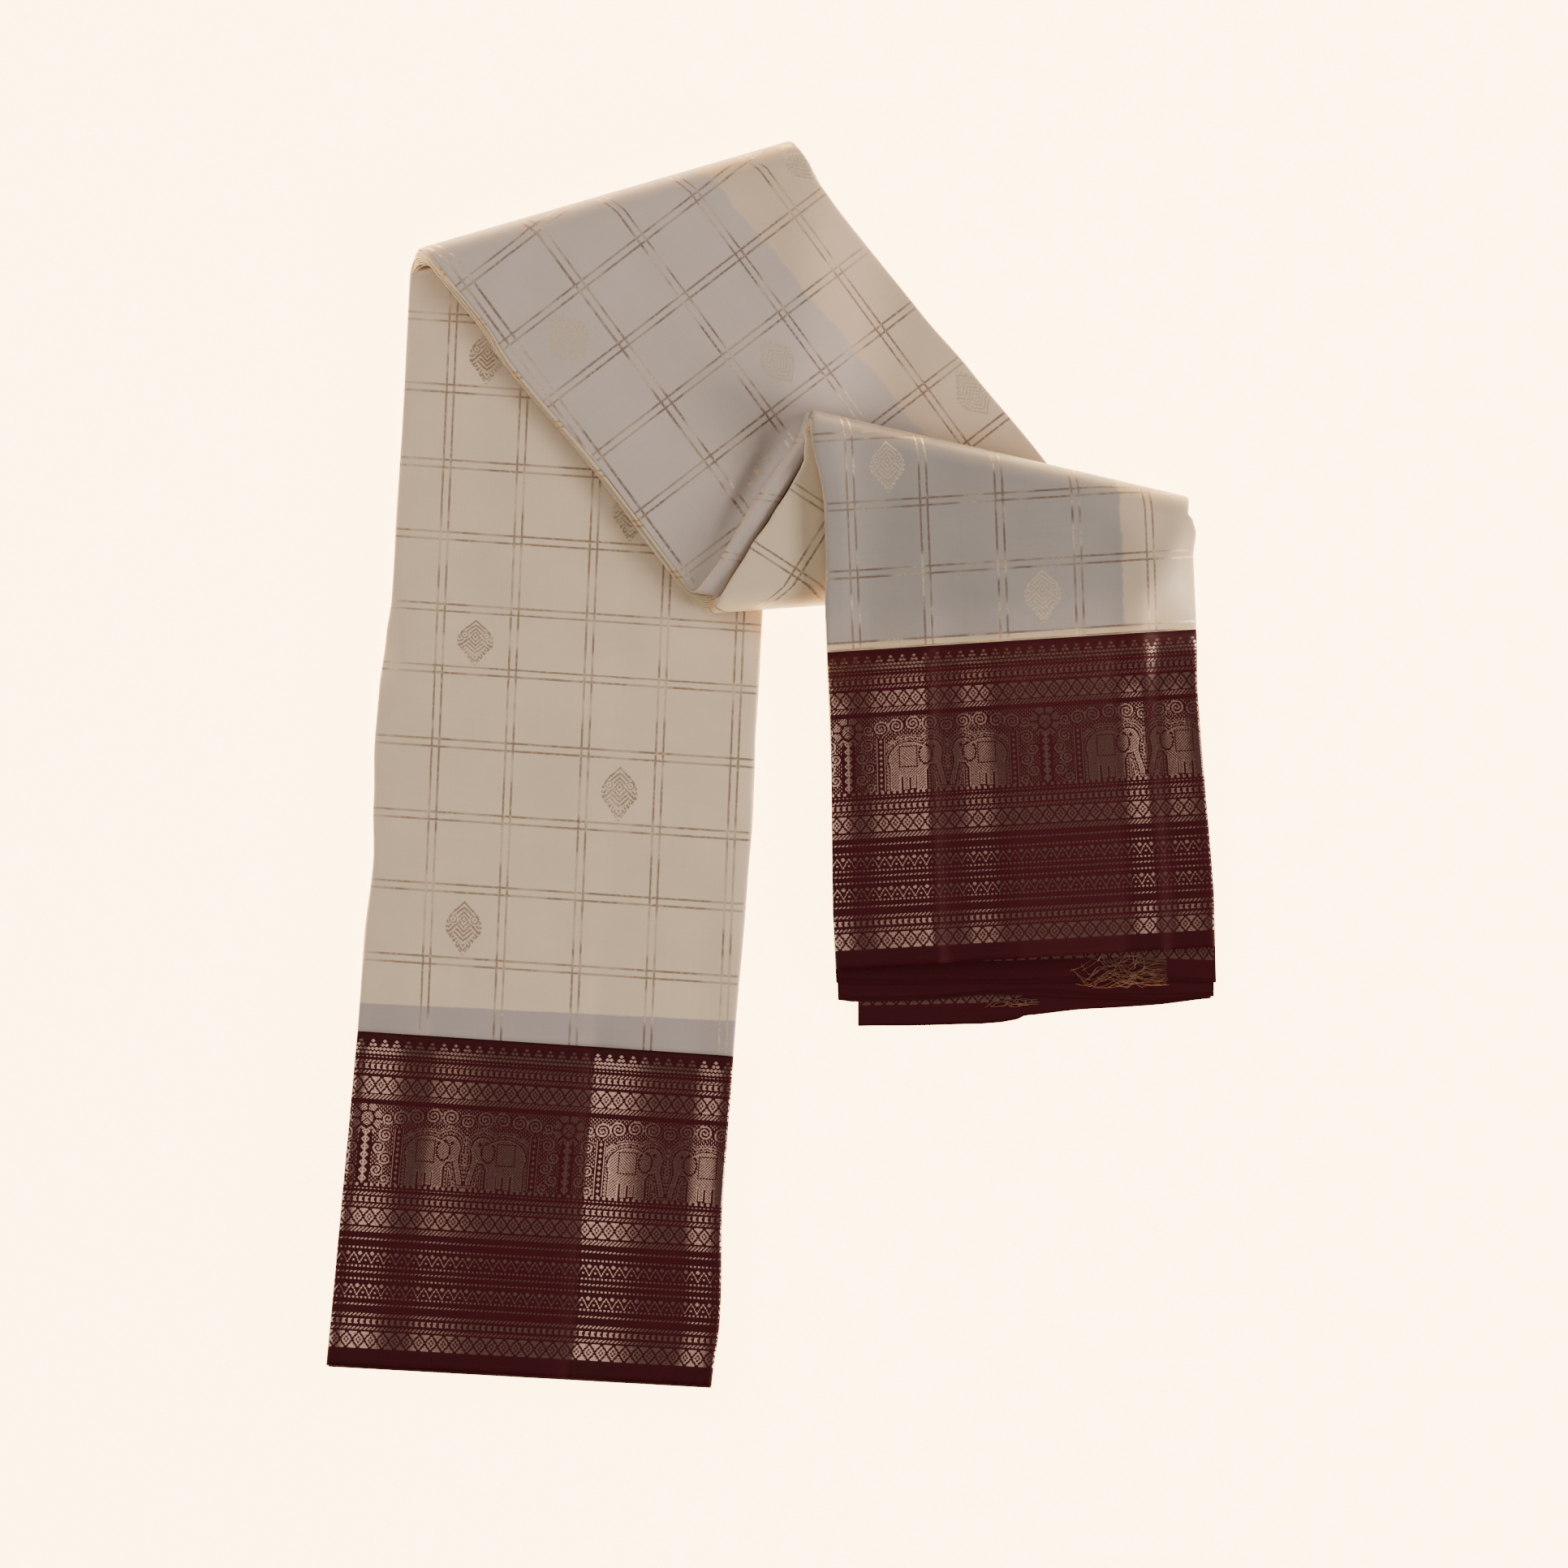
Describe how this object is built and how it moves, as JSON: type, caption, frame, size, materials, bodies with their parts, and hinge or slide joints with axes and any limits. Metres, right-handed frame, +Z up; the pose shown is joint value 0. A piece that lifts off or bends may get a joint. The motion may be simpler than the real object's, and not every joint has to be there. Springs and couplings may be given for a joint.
{
  "type": "folded silk saree",
  "caption": "Silk saree pleated into a long flat strip and laid in a zigzag of four stretches joined by soft folds, with wide woven borders and frayed cut threads at one hem.",
  "frame": {"origin": "centre of the bounding box at the surface the cloth lies on", "axes": "+Z up from the surface, +Y up the legs and away from the hems, +X to the right leg"},
  "size_m": [0.455, 0.6375, 0.0436],
  "materials": {
    "plain_silk": "pressed layers of woven silk seen at their folded edges",
    "checked_silk": "cream silk with double zari lines in a check and small woven flowers",
    "shot_silk": "greyish lilac shot silk shading to cream, with double zari lines",
    "border_silk": "dark maroon silk with bands of zari figures",
    "zari_thread": "loose metallic gold thread"
  },
  "bodies": {
    "root": {"hidden_layers": "plain_silk", "left_border": "border_silk", "left_body": "checked_silk", "crossing_body": "shot_silk", "turn_body": "checked_silk", "turned_edge": "shot_silk", "right_body": "shot_silk", "right_border": "border_silk", "second_layer_hem": "border_silk", "third_layer_hem": "border_silk", "lowest_layer_hem": "border_silk", "frayed_end_upper": "zari_thread", "frayed_end_lower": "zari_thread"}
  },
  "joints": []
}
